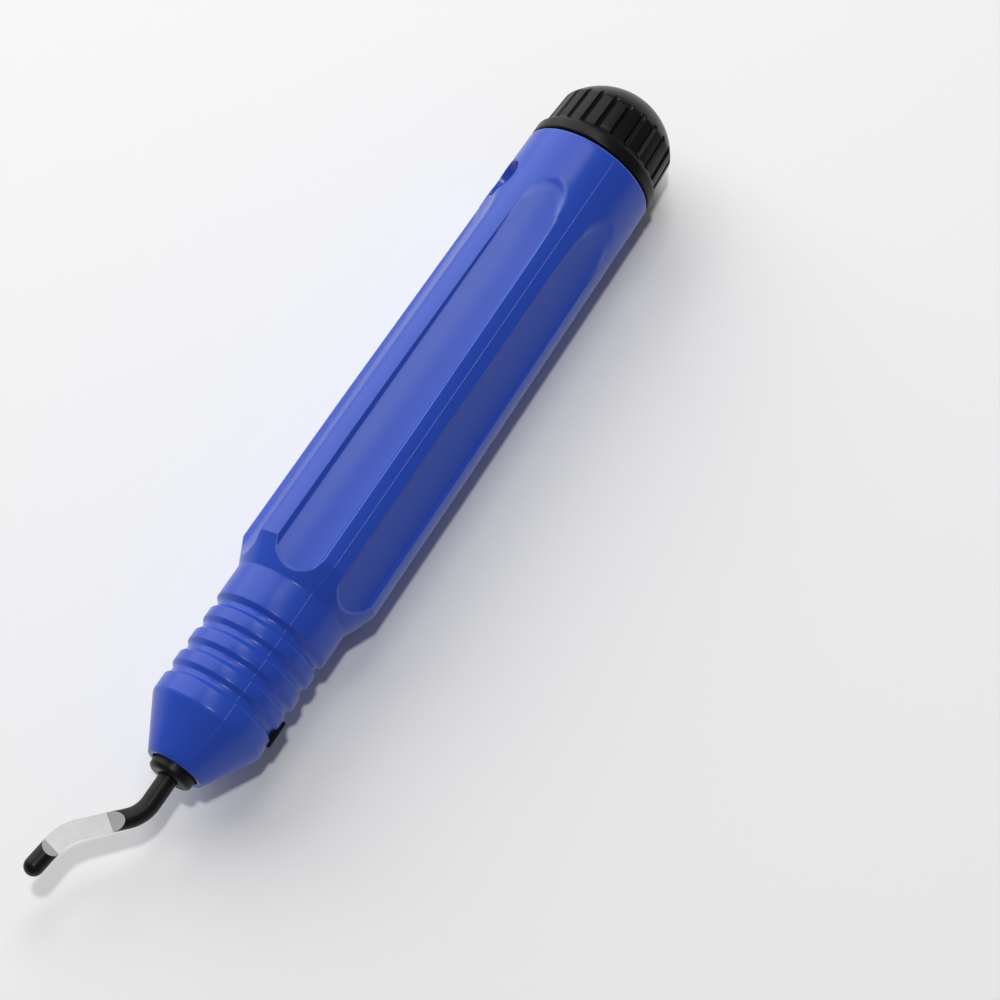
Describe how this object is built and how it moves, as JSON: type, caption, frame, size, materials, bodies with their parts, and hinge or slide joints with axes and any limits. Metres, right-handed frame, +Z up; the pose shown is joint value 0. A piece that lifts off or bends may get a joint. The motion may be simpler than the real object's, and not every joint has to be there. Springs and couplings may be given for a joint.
{
  "type": "deburring tool",
  "caption": "Pen-shaped deburring tool: swivelling S-shaped blade in a fluted moulded handle, push-button blade release, screw cap over a store of spare blades.",
  "frame": {"origin": "on the surface that the tool lies on, below the middle of its length and width", "axes": "+X along the tool's axis towards the blade, +Z up, out of the floor of one grip flute; +Y completes a right-handed frame"},
  "size_m": [0.1644, 0.0244, 0.0234],
  "materials": {
    "handle_blue": "moulded, semi-gloss",
    "black_plastic": "moulded, soft gloss",
    "black_oxide": "blackened steel; the blade's ground flat is bright",
    "bearing_bronze": "sintered",
    "bright_steel": "bright",
    "seal_rubber": "matt",
    "inner_plastic": "moulded, matt"
  },
  "bodies": {
    "handle": {"handle_body": "handle_blue", "nose_bush": "black_oxide", "rear_bush": "bearing_bronze", "thrust_ball": "bright_steel", "thrust_cup": "bright_steel", "bulkhead": "inner_plastic", "latch_spring": "bright_steel", "spare_blade_1": "black_oxide", "spare_blade_2": "black_oxide", "spare_blade_3": "black_oxide", "spare_blade_4": "black_oxide", "spare_blade_5": "black_oxide", "spare_blade_6": "black_oxide", "spare_blade_7": "black_oxide", "spare_blade_8": "black_oxide"},
    "blade": {"cutting_blade": "black_oxide"},
    "latch": {"release_button": "black_plastic", "latch_plate": "bright_steel"},
    "seal": {"cap_seal": "seal_rubber"},
    "cap": {"end_cap": "black_plastic"}
  },
  "joints": [
    {"name": "blade_swivel", "type": "hinge", "parent": "handle", "child": "blade", "pos_m": [0, 0, 0.0117], "axis": [1, 0, 0], "continuous": true},
    {"name": "button_press", "type": "slide", "parent": "handle", "child": "latch", "axis": [0, -0.866, 0.5], "range_m": [0, 0.00145], "stiffness_N_per_m": 600, "springref_m": -0.0012, "deforming": ["latch_spring"]},
    {"name": "cap_lift", "type": "slide", "parent": "handle", "child": "seal", "axis": [-1, 0, 0], "range_m": [0, 0.0066]},
    {"name": "cap_turn", "type": "hinge", "parent": "seal", "child": "cap", "pos_m": [0, 0, 0.0117], "axis": [-1, 0, 0], "range_deg": [0, 1190]}
  ],
  "couplings": [
    {"joint": "cap_turn", "follows": "cap_lift", "rad_per_m": 3141.6}
  ]
}
